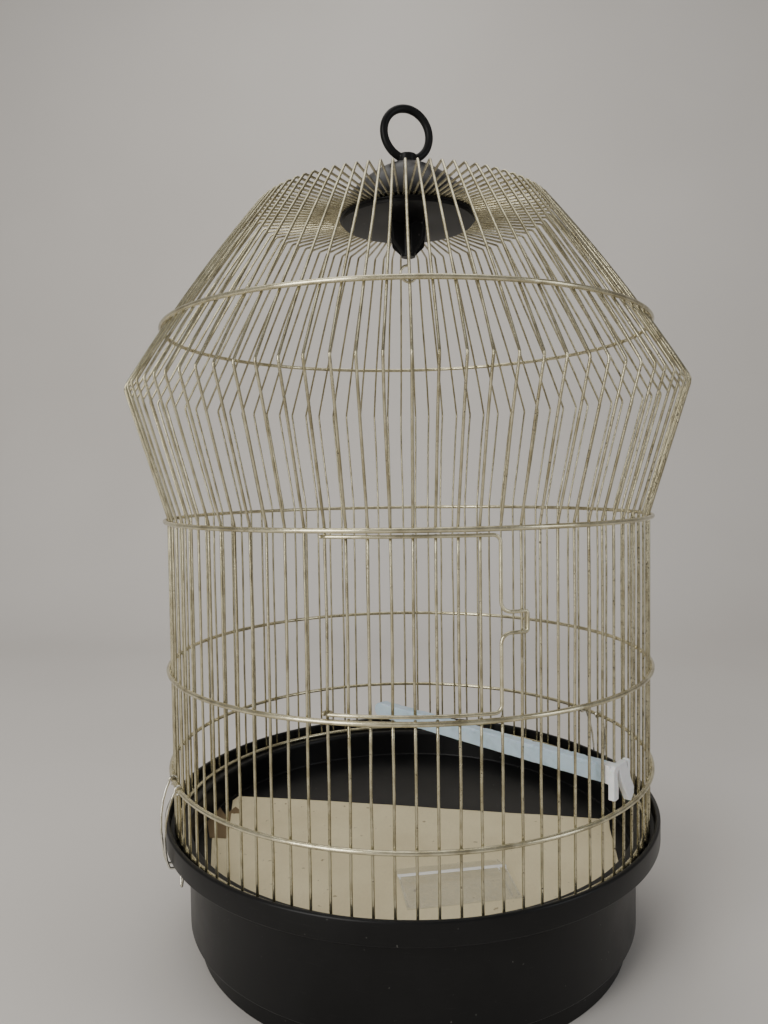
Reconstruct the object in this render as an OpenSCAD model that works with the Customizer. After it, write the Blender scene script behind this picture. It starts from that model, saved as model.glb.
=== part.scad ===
// Round wire bird cage that stands on a deep moulded base.
// Millimetres, +Z up. The base stands on Z = 0 and its axis is the Z axis.
// The front, with the door, faces -Y. Bearings are degrees from -Y towards +X.

/* [Base moulding] */
// Outside radius of the foot ring
foot_r = 165.5; // [160:0.5:168]
// Height of the foot ring
foot_h = 17; // [8:0.5:24]
// Outside radius of the base wall
wall_r = 172.3; // [172:0.1:173]
// Outside radius of the skirt around the rim
skirt_r = 189.5; // [188.5:0.1:190.2]
// Height of the skirt's lower edge
skirt_z = 83.6; // [83:0.1:85]
// Height of the rim's crest
crest_z = 98.7; // [96:0.1:102]
// Height of the channel floor that the cage sits in
channel_z = 89.5; // [89.3:0.1:89.5]
// Inner radius of the channel's outer lip
channel_out_r = 186; // [185.8:0.1:186.5]
// Radius where the channel floor meets the tray well
channel_in_r = 171; // [170.5:0.1:172]
// Inside radius of the tray well
well_r = 170; // [169:0.1:170]
// Height of the tray floor
floor_z = 66; // [60:0.5:66]
// Wall thickness of the moulding
shell_t = 2.5; // [2:0.1:3]

/* [Cage wires] */
// Number of upright wire places around the cage
wire_count = 90; // [90]
// Diameter of an upright wire
wire_d = 1.8; // [1.6:0.1:1.8]
// Radius of the ring of wires where they stand upright
wire_r = 181.5; // [181.4:0.1:181.6]
// Height where the wires start to flare out
flare_z = 320; // [319.5:0.5:322]
// Radius of the widest place of the cage
belly_r = 209; // [204:0.5:212]
// Height of the widest place of the cage
belly_z = 412.5; // [405:0.5:420]
// Radius of the shoulder where the wires turn in flat
shoulder_r = 113; // [111:0.5:114]
// Height of the flat wire ends under the dome cap
crown_z = 549.5; // [549:0.5:551]
// Outward bow of the sloping wires at the middle of their slope
bow_rise = 2.9; // [2.8:0.1:4]
// Radius where the wire ends stop under the dome cap
wire_end_r = 34; // [33:0.5:36]

/* [Hoops] */
// Diameter of the hoop wire
hoop_d = 3.2; // [3:0.1:3.2]
// Depth that a welded joint sinks one wire into the other
weld = 0.1; // [0.05:0.01:0.15]
// Height of the lower hoop, which carries the base clips
lower_hoop_z = 135.1; // [135:0.1:136]
// Height of the hoop at the door sill
sill_hoop_z = 208.9; // [208:0.1:209]
// Height of the hoop over the door
waist_hoop_z = 318; // [318:0.1:319]
// Height of the hoop on the sloping shoulder
shoulder_hoop_z = 457.3; // [456:0.1:459]
// Radius of the ring that joins the wire ends under the dome cap
crown_ring_r = 40; // [38:0.5:44]

/* [Door] */
// Bearing of the wire that the door hinges on
hinge_bearing = -14; // [-14]
// Bearing of the door's free edge
stile_bearing = 17.6; // [17.4:0.1:17.8]
// Diameter of the door frame wire
frame_d = 2.2; // [2:0.1:2.2]
// Height of the door's top bar
door_top_z = 314.5; // [314:0.1:314.6]
// Height of the door's bottom bar
door_bottom_z = 213; // [212.8:0.1:214]
// Height of the upper arm of the catch
catch_top_z = 270.4; // [270:0.2:272]
// Height of the lower arm of the catch
catch_bottom_z = 258.4; // [257:0.2:259]
// Bearing of the end of the catch
catch_bearing = 22.8; // [22.7:0.1:23.4]

/* [Base clips] */
// Bearing of the left clip
clip_bearing = -62; // [-62]
// Half the distance between a clip's two loops
clip_half_w = 10.5; // [10.3:0.1:10.7]
// Diameter of the clip wire
clip_d = 1.8; // [1.6:0.1:1.8]

/* [Perch] */
// Bearing of the gap that the perch reaches through
perch_bearing = 44; // [44]
// Height of the perch at the wires
perch_z = 161.6; // [160:0.2:163]
// Length of the bar
perch_len = 216; // [150:1:220]
// Thickness of the bar
perch_t = 9; // [8:0.5:9.5]
// Height of the bar
perch_h = 11.6; // [11:0.2:13]
// Droop of the bar from level, in degrees
perch_droop = 1.4; // [0:0.1:3]

/* [Crown] */
// Radius of the dome cap
cap_r = 53; // [52:0.5:55]
// Height of the dome cap
cap_h = 42; // [40:0.5:43]
// Sideways offset of the crown pieces from the axis of the cage
crown_shift = 4; // [0:0.5:4]
// Radius of the disc under the wire ends
disc_r = 53; // [51:0.5:54]
// Radius of the hanging ring's stem
stem_r = 3; // [2.9:0.02:3]
// Outside diameter of the hanging ring
ring_d = 44.5; // [43:0.5:45]
// Thickness of the hanging ring
ring_t = 6.2; // [5.5:0.1:6.2]
// Turn of the hanging ring from facing the front, in degrees
ring_yaw = 25; // [0:1:45]

/* [Hidden] */
$fn = 48;

brass = [0.66, 0.57, 0.38];
black_plastic = [0.1, 0.1, 0.11];
white_plastic = [0.88, 0.91, 0.94];
card = [0.83, 0.77, 0.62];
clear = [0.8, 0.85, 0.83, 0.4];

// Free play between pieces that move past each other
play = 0.3;
// Radial clearance of the stem in its holes
stem_play = 0.06;
// Bearing step from one wire to the next
wire_step = 360 / wire_count;
// Centre line radius of a hoop welded to the outside, or the inside, of the wires
outer_hoop_r = wire_r + (wire_d + hoop_d) / 2 - weld;
inner_hoop_r = wire_r - (wire_d + hoop_d) / 2 + weld;
// The wires and the inner hoop stop just above the channel floor
wire_foot_z = channel_z + play;
base_hoop_z = wire_foot_z + hoop_d / 2;
// Wires whose bearing is inside the doorway stop at the hoops above and below it
doorway_from = -12;
doorway_to = 20;
// Corners of an upright wire in the X-Z plane
flare = [wire_r, 0, flare_z];
belly = [belly_r, 0, belly_z];
shoulder = [shoulder_r, 0, crown_z];
// The slope from the belly to the shoulder bows out along an arc
slope = norm(shoulder - belly);
slope_angle = atan2(crown_z - belly_z, belly_r - shoulder_r);
bow_r = slope * slope / (8 * bow_rise) + bow_rise / 2;
bow_angle = 2 * asin(slope / (2 * bow_r));
bow_centre = (belly + shoulder) / 2
    - (bow_r - bow_rise) * [sin(slope_angle), 0, cos(slope_angle)];
// The shoulder hoop is welded to the outside of that arc
shoulder_hoop_r = bow_centre[0]
    + sqrt(pow(bow_r + outer_hoop_r - wire_r, 2) - pow(shoulder_hoop_z - bow_centre[2], 2));

// ---- Helpers ----

// A point at a bearing, a radius and a height
function around(bearing, r, z) = [r * sin(bearing), -r * cos(bearing), z];

// Points along an arc, from angle a0 to a1
function arc(centre, r, a0, a1, steps = 6) =
    [for (i = [0:steps]) let (a = a0 + (a1 - a0) * i / steps) centre + r * [cos(a), sin(a)]];

// Direction of the leg from p to q
function heading(p, q) = atan2(q[1] - p[1], q[0] - p[0]);

// Angle brought to the range -180 to 180
function wrapped(a) = a - 360 * round(a / 360);

// Turn of a path at its point i
function turn(path, i) = wrapped(heading(path[i], path[i + 1]) - heading(path[i - 1], path[i]));

// Points of a flat path of [x, y, bend radius] with its corners rounded
function rounded(path) = [for (i = [0:len(path) - 1])
    let (inside = i > 0 && i < len(path) - 1)
    each !inside ? [[path[i][0], path[i][1]]] :
        let (a = heading(path[i - 1], path[i]), bend = turn(path, i), s = sign(bend),
            t = path[i][2] * tan(abs(bend) / 2),
            start = [path[i][0] - t * cos(a), path[i][1] - t * sin(a)],
            centre = start + s * path[i][2] * [-sin(a), cos(a)])
        arc(centre, path[i][2], a - s * 90, a - s * 90 + bend, 4)];

// Round rod between two points
module rod(p, q, d) {
    v = q - p;
    translate(p)
        rotate([0, acos(v[2] / norm(v)), atan2(v[1], v[0])])
            cylinder(d = d, h = norm(v));
}

// Ball at a corner of a bent wire, a hair thicker than the wire
module elbow(p, d) {
    translate(p) sphere(d = d + 0.06);
}

// Round rod through a list of points
module rod_chain(points, d) {
    for (i = [0:len(points) - 2]) rod(points[i], points[i + 1], d);
    for (i = [1:len(points) - 2]) elbow(points[i], d);
}

// Unit vectors along a path, and across it without twist
function unit(v) = v / norm(v);
function ahead(path) = [for (i = [0:len(path) - 1])
    unit(path[min(i + 1, len(path) - 1)] - path[max(i - 1, 0)])];
function across(t) = [for (i = 0, s = unit(cross(t[0], [0.3, 0.5, 0.8])); i < len(t);
    i = i + 1, s = i < len(t) ? unit(s - t[i] * (s * t[i])) : s) s];

// Wire swept along many points, as a faceted tube
module swept_wire(path, d, sides = 10) {
    t = ahead(path);
    s = across(t);
    last = len(path) - 1;
    points = [for (i = [0:last]) let (u = cross(t[i], s[i]))
        for (k = [0:sides - 1]) let (a = 360 * k / sides)
            path[i] + d / 2 * (cos(a) * s[i] + sin(a) * u)];
    walls = [for (i = [0:last - 1]) for (k = [0:sides - 1]) let (next = (k + 1) % sides)
        [i * sides + k, (i + 1) * sides + k, (i + 1) * sides + next, i * sides + next]];
    polyhedron(points, concat([[for (k = [0:sides - 1]) k],
        [for (k = [sides - 1:-1:0]) last * sides + k]], walls));
}

// Ring of round wire about the Z axis
module hoop(r, z, d) {
    translate([0, 0, z]) rotate_extrude($fn = 180) translate([r, 0]) circle(d = d);
}

// ---- Base ----

module tray_pan() {
    round_r = 2;
    lip_r = (skirt_r - channel_out_r) / 2;
    color(black_plastic)
        rotate_extrude($fn = 180)
            polygon(concat(
                [[foot_r - shell_t, 0], [foot_r, 0], [foot_r, foot_h]],
                arc([wall_r - round_r, foot_h + round_r], round_r, -90, 0),
                [[wall_r, channel_z - shell_t], [skirt_r - shell_t, channel_z - shell_t],
                    [skirt_r - shell_t, skirt_z], [skirt_r, skirt_z]],
                arc([skirt_r - lip_r, crest_z - lip_r], lip_r, 0, 180, 8),
                [[channel_out_r, channel_z], [channel_in_r, channel_z],
                    [well_r, channel_z - shell_t], [well_r, floor_z], [0, floor_z],
                    [0, floor_z - shell_t], [wall_r - shell_t, floor_z - shell_t],
                    [wall_r - shell_t, foot_h + shell_t], [foot_r - shell_t, foot_h + shell_t]]));
}

// Flat sheet cut to an outline and kept clear of the tray's wall
sheet_t = 0.5;
sheet_limit_r = 164;
module sheet(outline, z, limit_r = sheet_limit_r) {
    translate([0, 0, z]) linear_extrude(height = sheet_t)
        intersection() {
            polygon(outline);
            circle(r = limit_r, $fn = 180);
        }
}

module liner_lower() {
    color(card)
        sheet([[-156, -20], [-120, -165], [120, -165], [148, -70], [120, -40]], floor_z);
}

module liner_upper() {
    color(card)
        sheet([[-158, 59], [-17, 41], [161, 14], [158, -1], [150, -65], [118, -165],
            [-112, -165], [-129, -78], [-143, -20]], floor_z + sheet_t);
}

module card_scrap() {
    color([0.45, 0.34, 0.2])
        sheet([[-168, 10], [-163, 33], [-156, 22], [-150, 34], [-144, 28], [-143, -19.5],
            [-158, -19.5]], floor_z, 168);
}

// Folded clear plastic strip that lies on the liner, with a ridge along its fold
module clear_guard() {
    guard_t = 0.8;
    ridge_h = 6;
    back = 19;
    front = 34;
    span = 78;
    color(clear)
        translate([-8, -88, floor_z + 2 * sheet_t])
            rotate([0, 0, 12])
                translate([span, 0, 0]) rotate([90, 0, -90])
                    linear_extrude(height = span)
                        polygon([[-back, 0], [0, ridge_h - guard_t], [front, 0],
                            [front, guard_t], [0, ridge_h], [-back, guard_t]]);
}

// ---- Cage ----

module hoop_base() {
    color(brass) hoop(inner_hoop_r, base_hoop_z, hoop_d);
}

module hoop_lower() {
    color(brass) hoop(outer_hoop_r, lower_hoop_z, hoop_d);
}

module hoop_sill() {
    color(brass) hoop(outer_hoop_r, sill_hoop_z, hoop_d);
}

module hoop_waist() {
    color(brass) hoop(outer_hoop_r, waist_hoop_z, hoop_d);
}

module hoop_shoulder() {
    color(brass) hoop(shoulder_hoop_r, shoulder_hoop_z, hoop_d);
}

module crown_ring() {
    color(brass) hoop(crown_ring_r, crown_z + (wire_d + hoop_d) / 2 - weld, hoop_d);
}

// Upright wire in the X-Z plane, from a height up to its flat end under the dome cap
module upright_wire(from_z) {
    rod([wire_r, 0, from_z], flare, wire_d);
    rod(flare, belly, wire_d);
    translate(bow_centre)
        rotate([90, 0, 0]) rotate([0, 0, 90 - slope_angle - bow_angle / 2])
            rotate_extrude(angle = bow_angle, $fn = 360) translate([bow_r, 0])
                circle(d = wire_d, $fn = 48);
    rod(shoulder, [wire_end_r, 0, crown_z], wire_d);
    for (corner = [flare, belly, shoulder]) elbow(corner, wire_d);
}

// Bearing of wire number i; the wires stand half a step either side of the front
function wire_bearing(i) = wrapped((i + 0.5) * wire_step);
function in_doorway(bearing) = bearing > doorway_from && bearing < doorway_to;

module wire_at(bearing, from_z) {
    rotate([0, 0, bearing - 90]) upright_wire(from_z);
}

// Full-height wires whose bearing is within a half width of a centre bearing
module wire_bank(centre, half = 45) {
    color(brass)
        for (i = [0:wire_count - 1])
            if (abs(wrapped(wire_bearing(i) - centre)) < half && !in_doorway(wire_bearing(i)))
                wire_at(wire_bearing(i), wire_foot_z);
}

module wires_front() {
    wire_bank(0);
}

module wires_right() {
    wire_bank(90);
}

module wires_back() {
    wire_bank(180);
}

module wires_left() {
    wire_bank(-90);
}

module wires_over_door() {
    color(brass)
        for (i = [0:wire_count - 1])
            if (in_doorway(wire_bearing(i)))
                wire_at(wire_bearing(i), waist_hoop_z - hoop_d / 2);
}

module wires_under_door() {
    stub = sill_hoop_z + hoop_d / 2 - wire_foot_z;
    color(brass)
        for (i = [0:wire_count - 1])
            if (in_doorway(wire_bearing(i)))
                translate(around(wire_bearing(i), wire_r, wire_foot_z))
                    cylinder(d = wire_d, h = stub);
}

// ---- Crown ----

// Place on the crown's own axis, at a height
module on_crown(z) {
    translate([crown_shift, 0, z]) children();
}

cap_foot_z = crown_z + wire_d / 2 + 0.1;
cap_t = 1.8;
seat_r = 9;
// Curve of the dome cap, from its rim up to a flat seat in the middle
cap_power = 1.5;
function cap_curve(inset, steps = 18) =
    [for (i = [0:steps])
        let (r = (cap_r - inset) * cos(90 * i / steps) + (i == steps ? 0.01 : 0))
        [max(r, seat_r), (cap_h - inset)
            * pow(1 - pow(max(r, seat_r) / (cap_r - inset), cap_power), 1 / cap_power)]];
cap_top_z = cap_foot_z + cap_curve(0)[18][1];
disc_top_z = crown_z - wire_d / 2;
disc_t = 3.6;

module dome_cap() {
    color(black_plastic)
        on_crown(cap_foot_z) difference() {
            rotate_extrude($fn = 120)
                polygon(concat([[0, 0]], cap_curve(0), [[0, cap_top_z - cap_foot_z]]));
            translate([0, 0, -0.01])
                rotate_extrude($fn = 120)
                    polygon(concat([[0, 0]], cap_curve(cap_t),
                        [[0, cap_curve(cap_t)[18][1]]]));
            cylinder(r = stem_r + stem_play, h = 2 * cap_h);
        }
}

// Washer between the underside of the cap and the stem's shoulder
module crown_washer() {
    washer_t = 1.2;
    under_cap_z = cap_foot_z + cap_curve(cap_t)[18][1] - 0.01;
    color("silver")
        on_crown(under_cap_z - washer_t) difference() {
            cylinder(r = 7.5, h = washer_t);
            translate([0, 0, -1]) cylinder(r = stem_r + stem_play, h = washer_t + 2);
        }
}

module under_disc() {
    lip_h = 1.2;
    lip_in = 2;
    color(black_plastic)
        on_crown(disc_top_z - disc_t) difference() {
            union() {
                cylinder(r = disc_r - lip_in, h = disc_t, $fn = 120);
                translate([0, 0, disc_t - lip_h]) cylinder(r = disc_r, h = lip_h, $fn = 120);
            }
            translate([0, 0, -1]) cylinder(r = stem_r + stem_play, h = disc_t + 2);
        }
}

nut_top_z = disc_top_z - disc_t - play;
nut_h = 25.5;
socket_depth = 12;

module hanging_ring() {
    boss_r = 7.5;
    boss_h = 6.5;
    boss_z = cap_top_z + play;
    ring_z = boss_z + ring_d / 2 + 0.5;
    sunk = 1;
    color(black_plastic) {
        on_crown(ring_z) rotate([90, 0, ring_yaw])
            rotate_extrude($fn = 96) translate([(ring_d - ring_t) / 2, 0]) circle(d = ring_t);
        on_crown(boss_z) cylinder(r = boss_r, h = boss_h);
        on_crown(nut_top_z - socket_depth + sunk)
            cylinder(r = stem_r, h = boss_z - nut_top_z + socket_depth);
    }
}

// Four-finned nut that holds the crown together from below
module finial_nut() {
    core_r = 5.6;
    fin_t = 3;
    tip_r = 4.8;
    top_r = 18.5;
    knee_r = 16.5;
    knee_h = 10.5;
    step_h = 0.6;
    color(black_plastic)
        on_crown(nut_top_z - nut_h) difference() {
            union() {
                cylinder(r = core_r, h = nut_h);
                for (a = [45, 135])
                    rotate([90, 0, a]) translate([0, 0, -fin_t / 2])
                        linear_extrude(height = fin_t)
                            polygon([[-tip_r, step_h], [tip_r, step_h], [knee_r, knee_h],
                                [top_r, nut_h - step_h], [-top_r, nut_h - step_h],
                                [-knee_r, knee_h]]);
            }
            translate([0, 0, nut_h - socket_depth]) cylinder(r = stem_r, h = nut_h);
        }
}

// Open wire hook for a swing, set in the tip of the nut
module swing_hook() {
    hook_d = 2;
    loop_r = 6.5;
    shank = 6;
    nut_tip_z = nut_top_z - nut_h;
    color(brass) {
        on_crown(nut_tip_z - shank) cylinder(d = hook_d, h = shank);
        on_crown(nut_tip_z - shank - loop_r)
            rotate([90, 0, 20]) rotate([0, 0, 90])
                rotate_extrude(angle = 270) translate([loop_r, 0]) circle(d = hook_d);
    }
}

// ---- Door ----

hinge_play = 0.4;
hinge_loop_r = (wire_d + frame_d) / 2 + hinge_play;
frame_r = wire_r + hinge_loop_r;
door_wire_r = frame_r - (wire_d + frame_d) / 2 + weld;

// Place on the door's curved face, from a distance around it and a height
function on_door(p) = around(p[0] / frame_r * 180 / PI, frame_r, p[1]);
function along(bearing) = frame_r * bearing * PI / 180;

// Open loop around the hinge wire, ending where the bar leaves it
function hinge_loop(z) =
    let (loop_angle = 300, out = hinge_bearing - 90, centre = around(hinge_bearing, wire_r, z))
    [for (p = arc([centre[0], centre[1]], hinge_loop_r, out - loop_angle, out, 20))
        [p[0], p[1], z]];

// Bar that follows the curve of the cage
function door_bar(z, to_bearing, steps = 20) =
    [for (i = [1:steps - 1])
        around(hinge_bearing + (to_bearing - hinge_bearing) * i / steps, frame_r, z)];

function backwards(list) = [for (i = [len(list) - 1:-1:0]) list[i]];

// One wire bent to the whole frame, with the catch in its free side
module door_frame() {
    corner_r = 4;
    catch_r = 6;
    catch_end_r = 1.5;
    corner_bearing = stile_bearing - 2;
    side = [for (p = rounded([
        [along(corner_bearing), door_top_z, 0],
        [along(stile_bearing), door_top_z, corner_r],
        [along(stile_bearing), catch_top_z, catch_r],
        [along(catch_bearing), catch_top_z, catch_end_r],
        [along(catch_bearing), catch_bottom_z, catch_end_r],
        [along(stile_bearing), catch_bottom_z, catch_r],
        [along(stile_bearing), door_bottom_z, corner_r],
        [along(corner_bearing), door_bottom_z, 0]])) on_door(p)];
    color(brass)
        swept_wire(concat(hinge_loop(door_top_z), door_bar(door_top_z, corner_bearing), side,
            backwards(door_bar(door_bottom_z, corner_bearing)),
            backwards(hinge_loop(door_bottom_z))), frame_d);
}

module door_wires() {
    over = frame_d / 2 - play;
    color(brass)
        for (i = [1:7])
            translate(around(hinge_bearing + i * wire_step, door_wire_r, door_bottom_z - over))
                cylinder(d = wire_d, h = door_top_z - door_bottom_z + 2 * over);
}

// ---- Base clips ----

clip_loop_r = (hoop_d + clip_d) / 2 + play;
clip_pivot_r = outer_hoop_r * cos(asin(clip_half_w / outer_hoop_r));

// Wire bail that hangs from the lower hoop and hooks under the skirt.
// Its points are [outwards from the pivot, sideways, up from the pivot].
module base_clip(bearing) {
    jog_z = skirt_z - 4.8 - lower_hoop_z;
    leg = [[clip_loop_r, clip_half_w, 0], [7, 10, -10], [9.6, 7.6, -28], [8.8, 4.8, -48],
        [6, 4, jog_z], [-2, 4.2, jog_z], [-2.6, 3.8, jog_z - 7], [-1.8, 0, jog_z - 20]];
    other = [for (i = [len(leg) - 2:-1:0]) [leg[i][0], -leg[i][1], leg[i][2]]];
    color(brass)
        translate(around(bearing, clip_pivot_r, lower_hoop_z))
            rotate([0, 0, bearing - 90]) {
                rod_chain(concat(leg, other), clip_d);
                for (side = [-1, 1]) {
                    translate([0, side * clip_half_w, 0]) rotate([90, 0, 0])
                        rotate_extrude() translate([clip_loop_r, 0]) circle(d = clip_d);
                    elbow([clip_loop_r, side * clip_half_w, 0], clip_d);
                }
            }
}

module base_clip_left() {
    base_clip(clip_bearing);
}

module base_clip_right() {
    base_clip(clip_bearing + 180);
}

// ---- Perch ----

// Radius of the flat inner face of the clip plate, just outside the wires
plate_in_r = wire_r + wire_d / 2 + play;
// Radius where the neck hands over to the bar, just inside the wires
neck_in_r = wire_r - wire_d / 2 - 2.5;

// Plate with two tongues outside the wires, and a neck through the gap between them
module perch_clip() {
    plate_t = 4;
    plate_bearing = 48.5;
    neck_w = 8.4;
    color(white_plastic) {
        translate(around(plate_bearing, plate_in_r, 0))
            rotate([90, 0, plate_bearing])
                linear_extrude(height = plate_t) difference() {
                    polygon([[-18.2, 140.4], [-15.5, 139.2], [-12, 140], [-11.8, 153.8],
                        [-13.4, 159.8], [-12.6, 163.2], [-10.9, 164.2], [-9.9, 162.2],
                        [-7.9, 155.6], [1.8, 140.6], [4.8, 139.6], [8.2, 143.6], [8.7, 147.8],
                        [3.8, 155.6], [2.8, 159.8], [3.8, 166.4], [1.8, 167.6],
                        [-15.7, 166.9], [-18.2, 164.6]]);
                    polygon([[-2.2, 168.5], [0, 168.5], [1.2, 160.6], [0.6, 160.6]]);
                }
        rotate([0, 0, perch_bearing])
            translate([-neck_w / 2, -plate_in_r - plate_t / 2, perch_z - perch_h / 2])
                cube([neck_w, plate_in_r + plate_t / 2 - neck_in_r, perch_h]);
    }
}

module perch_bar() {
    seat = 0.6;
    root_r = neck_in_r + seat;
    color(white_plastic)
        rotate([0, 0, perch_bearing])
            translate([0, -root_r, perch_z])
                rotate([-perch_droop, 0, 0])
                    translate([perch_t / 2, 0, 0]) rotate([90, 0, -90])
                        linear_extrude(height = perch_t) {
                            translate([-perch_len + perch_h / 2, -perch_h / 2])
                                square([perch_len - perch_h / 2, perch_h]);
                            translate([-perch_len + perch_h / 2, 0]) circle(d = perch_h);
                        }
}

tray_pan();
liner_lower();
liner_upper();
card_scrap();
clear_guard();
hoop_base();
hoop_lower();
hoop_sill();
hoop_waist();
hoop_shoulder();
crown_ring();
wires_front();
wires_right();
wires_back();
wires_left();
wires_over_door();
wires_under_door();
dome_cap();
crown_washer();
under_disc();
hanging_ring();
finial_nut();
swing_hook();
door_frame();
door_wires();
base_clip_left();
base_clip_right();
perch_clip();
perch_bar();
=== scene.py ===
import math
import random

import bmesh
import bpy
from mathutils import Matrix, Vector, noise

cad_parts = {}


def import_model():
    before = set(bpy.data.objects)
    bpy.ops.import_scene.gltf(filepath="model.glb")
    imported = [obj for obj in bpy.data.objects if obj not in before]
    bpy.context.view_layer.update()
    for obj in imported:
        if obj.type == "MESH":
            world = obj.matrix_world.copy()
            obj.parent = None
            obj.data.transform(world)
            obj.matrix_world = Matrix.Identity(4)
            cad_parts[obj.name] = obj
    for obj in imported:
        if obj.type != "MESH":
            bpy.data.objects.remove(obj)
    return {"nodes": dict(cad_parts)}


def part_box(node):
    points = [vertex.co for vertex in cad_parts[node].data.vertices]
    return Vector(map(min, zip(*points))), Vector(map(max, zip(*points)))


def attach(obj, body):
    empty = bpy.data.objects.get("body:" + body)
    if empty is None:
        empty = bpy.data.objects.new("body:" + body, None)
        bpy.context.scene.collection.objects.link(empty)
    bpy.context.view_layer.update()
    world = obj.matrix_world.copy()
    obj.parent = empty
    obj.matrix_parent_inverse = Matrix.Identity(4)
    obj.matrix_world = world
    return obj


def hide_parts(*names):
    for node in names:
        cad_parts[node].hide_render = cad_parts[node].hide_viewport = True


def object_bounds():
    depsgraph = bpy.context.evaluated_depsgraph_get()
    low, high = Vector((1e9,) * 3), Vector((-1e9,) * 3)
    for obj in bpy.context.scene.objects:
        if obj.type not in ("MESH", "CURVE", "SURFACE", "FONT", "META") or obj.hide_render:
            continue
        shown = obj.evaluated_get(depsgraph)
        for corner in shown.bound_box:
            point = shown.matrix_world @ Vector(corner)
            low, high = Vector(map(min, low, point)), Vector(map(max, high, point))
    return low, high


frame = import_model()
cad_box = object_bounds()

MM = 0.001
RNG = random.Random(7)

# ---------------------------------------------------------------- sizes from the frame


def hoop_size(node):
    """Centre line radius, height and wire radius of a hoop node."""
    low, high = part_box(node)
    wire = (high.z - low.z) / 2
    return high.x - wire, (high.z + low.z) / 2, wire


BASE_HOOP = hoop_size("hoop_base")
LOWER_HOOP = hoop_size("hoop_lower")
SILL_HOOP = hoop_size("hoop_sill")
WAIST_HOOP = hoop_size("hoop_waist")
SHOULDER_HOOP = hoop_size("hoop_shoulder")
CROWN_RING = hoop_size("crown_ring")

WIRE_COUNT = 90
STEP = 360 / WIRE_COUNT
WIRE_RADIUS = 0.9 * MM
HOOP_WIRE = LOWER_HOOP[2]
WELD = 0.1 * MM
WIRE_RING = LOWER_HOOP[0] - HOOP_WIRE - WIRE_RADIUS + WELD
FOOT_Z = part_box("wires_back")[0].z
CROWN_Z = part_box("wires_back")[1].z - WIRE_RADIUS
BELLY_RING = cad_box[1][0] - WIRE_RADIUS
BELLY_Z = 412.5 * MM
FLARE_Z = WAIST_HOOP[1] + 2 * MM
SHOULDER_RING = 113 * MM
WIRE_END_RING = 34 * MM
BOW_RISE = 2.9 * MM

HINGE_BEARING = -14
STILE_BEARING = 17.6
DOORWAY = (-12, 20)


def around(bearing, radius, z):
    """Point at a bearing in degrees from -Y towards +X."""
    b = math.radians(bearing)
    return Vector((radius * math.sin(b), -radius * math.cos(b), z))


def wrapped(angle):
    return (angle + 180) % 360 - 180


# ---------------------------------------------------------------- mesh helpers


def new_object(name, verts, faces, smooth=True):
    mesh = bpy.data.meshes.new(name)
    mesh.from_pydata([tuple(v) for v in verts], [], faces)
    mesh.validate()
    mesh.update()
    mesh.polygons.foreach_set("use_smooth", [smooth] * len(mesh.polygons))
    obj = bpy.data.objects.new(name, mesh)
    bpy.context.scene.collection.objects.link(obj)
    return obj


def rounded(points, radii, steps=7):
    """A path through 3-D points with its inner corners turned on the given radii."""
    out = [Vector(points[0])]
    for i in range(1, len(points) - 1):
        before, here, after = Vector(points[i - 1]), Vector(points[i]), Vector(points[i + 1])
        a = (before - here).normalized()
        b = (after - here).normalized()
        half = a.angle(b) / 2
        radius = radii[i - 1] if isinstance(radii, (list, tuple)) else radii
        reach = radius / math.tan(half)
        reach = min(reach, 0.48 * (before - here).length, 0.48 * (after - here).length)
        radius = reach * math.tan(half)
        centre = here + (a + b).normalized() * (radius / math.sin(half))
        start, end = here + a * reach - centre, here + b * reach - centre
        total = start.angle(end)
        for k in range(steps + 1):
            t = k / steps
            mix = (math.sin((1 - t) * total) * start + math.sin(t * total) * end) / math.sin(total)
            out.append(centre + mix)
    out.append(Vector(points[-1]))
    return out


def divided(path, longest):
    """The path with its long legs split, so that small shape changes can follow it."""
    out = [path[0]]
    for p, q in zip(path, path[1:]):
        n = max(1, math.ceil((q - p).length / longest))
        out += [p.lerp(q, k / n) for k in range(1, n + 1)]
    return out


def tube_mesh(path, radius, sides=12, closed=False, swell=None):
    """Vertices and faces of a round tube swept along a path. swell(i) scales ring i."""
    n = len(path)
    tangents = []
    for i in range(n):
        if closed:
            t = path[(i + 1) % n] - path[i - 1]
        else:
            t = path[min(i + 1, n - 1)] - path[max(i - 1, 0)]
        tangents.append(t.normalized())
    side = tangents[0].orthogonal().normalized()
    verts, faces = [], []
    for i in range(n):
        t = tangents[i]
        side = (side - t * side.dot(t)).normalized()
        up = t.cross(side)
        r = radius * (swell(i) if swell else 1)
        for k in range(sides):
            a = 2 * math.pi * k / sides
            verts.append(path[i] + r * (math.cos(a) * side + math.sin(a) * up))
    rings = n if closed else n - 1
    shift = 0
    if closed:
        first = verts[0] - path[0]
        t = tangents[0]
        side = (side - t * side.dot(t)).normalized()
        up = t.cross(side)
        shift = round(math.atan2(first.dot(up), first.dot(side)) / (2 * math.pi) * sides)
    for i in range(rings):
        for k in range(sides):
            k2 = (k + 1) % sides
            j = (i + 1) % n
            s = -shift if closed and i == n - 1 else 0
            faces.append((i * sides + k, i * sides + k2,
                          j * sides + (k2 + s) % sides, j * sides + (k + s) % sides))
    if not closed:
        for base, flip, tip in ((0, True, -1), ((n - 1) * sides, False, 1)):
            end = path[0] if flip else path[-1]
            verts.append(end + tangents[0 if flip else -1] * (0.35 * radius * tip))
            centre = len(verts) - 1
            for k in range(sides):
                k2 = (k + 1) % sides
                faces.append((centre, base + k2, base + k) if flip
                             else (centre, base + k, base + k2))
    return verts, faces


def joined(parts):
    """One vertex and face list from several."""
    verts, faces = [], []
    for v, f in parts:
        base = len(verts)
        verts += v
        faces += [tuple(base + i for i in face) for face in f]
    return verts, faces


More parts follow.
